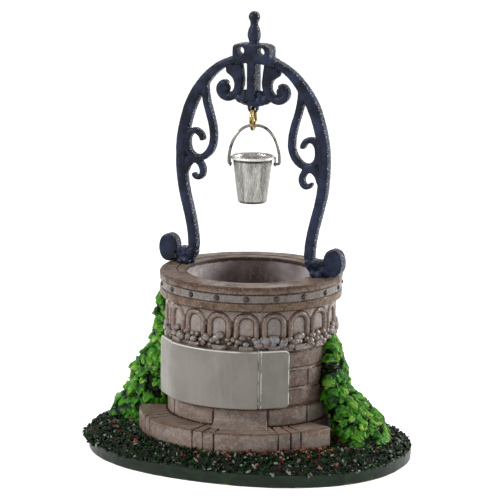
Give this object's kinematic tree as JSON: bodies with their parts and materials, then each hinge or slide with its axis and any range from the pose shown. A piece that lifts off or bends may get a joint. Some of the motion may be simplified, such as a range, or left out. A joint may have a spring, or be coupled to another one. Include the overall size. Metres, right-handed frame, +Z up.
{
  "type": "miniature wishing well",
  "caption": "Table-top round stone wishing well on an oval planted base, with a scrolled iron arch, a hanging tilting bucket, a curved blank sign and ivy at both sides.",
  "frame": {"origin": "centre of the flat underside of the oval base, on the surface it stands on", "axes": "+Z up; -Y is the front, where the sign faces; the arch and the long side of the base lie along X"},
  "size_m": [0.0742, 0.0598, 0.1],
  "materials": {
    "base_paint": "dark green painted cast resin, satin",
    "planting": "dark green granular planting with red flecks, satin",
    "stone_paint": "grey-brown painted cast resin with a brown wash, satin",
    "rivet_paint": "dark grey painted cast resin, satin",
    "sign_paint": "plain grey painted cast resin, satin varnish",
    "arch_paint": "near-black blue painted cast metal, semi-gloss",
    "leaf_paint": "bright green painted cast resin, gloss varnish",
    "ring_brass": "polished",
    "bucket_metal": "brushed upright"
  },
  "bodies": {
    "well": {"base_plate": "base_paint", "planting_bed": "planting", "stone_step": "stone_paint", "plinth_course": "stone_paint", "brick_wall": "stone_paint", "lower_moulding": "stone_paint", "frieze_ring": "stone_paint", "frieze_arches": "stone_paint", "frieze_pebbles": "stone_paint", "cap_moulding": "stone_paint", "rivet_band": "stone_paint", "band_rivets": "rivet_paint", "coping_ring": "stone_paint", "sign_centre_panel": "sign_paint", "sign_left_panel": "sign_paint", "sign_right_panel": "sign_paint", "arch_left_rail": "arch_paint", "arch_right_rail": "arch_paint", "drop_post": "arch_paint", "crown_block": "arch_paint", "finial": "arch_paint", "left_teardrop_scroll": "arch_paint", "left_small_scroll": "arch_paint", "left_crown_bracket": "arch_paint", "left_post_lobe": "arch_paint", "left_foot_volute": "arch_paint", "right_teardrop_scroll": "arch_paint", "right_small_scroll": "arch_paint", "right_crown_bracket": "arch_paint", "right_post_lobe": "arch_paint", "right_foot_volute": "arch_paint", "left_ivy": "leaf_paint", "right_ivy": "leaf_paint"},
    "ring": {"jump_ring": "ring_brass"},
    "bail": {"bucket_bail": "bucket_metal"},
    "bucket": {"bucket": "bucket_metal", "bucket_ears": "bucket_metal"}
  },
  "joints": [
    {"name": "ring_swing", "type": "hinge", "parent": "well", "child": "ring", "pos_m": [0, 0, 0.07825], "axis": [-0.2334, 0.9724, 0], "range_deg": [-12, 12]},
    {"name": "bail_swing", "type": "hinge", "parent": "ring", "child": "bail", "pos_m": [0, 0, 0.07446], "axis": [0.9135, 0.4067, 0], "range_deg": [-50, 50]},
    {"name": "bucket_tilt", "type": "hinge", "parent": "bail", "child": "bucket", "pos_m": [0, 0, 0.06586], "axis": [0.9135, 0.4067, 0], "range_deg": [-75, 75]}
  ]
}
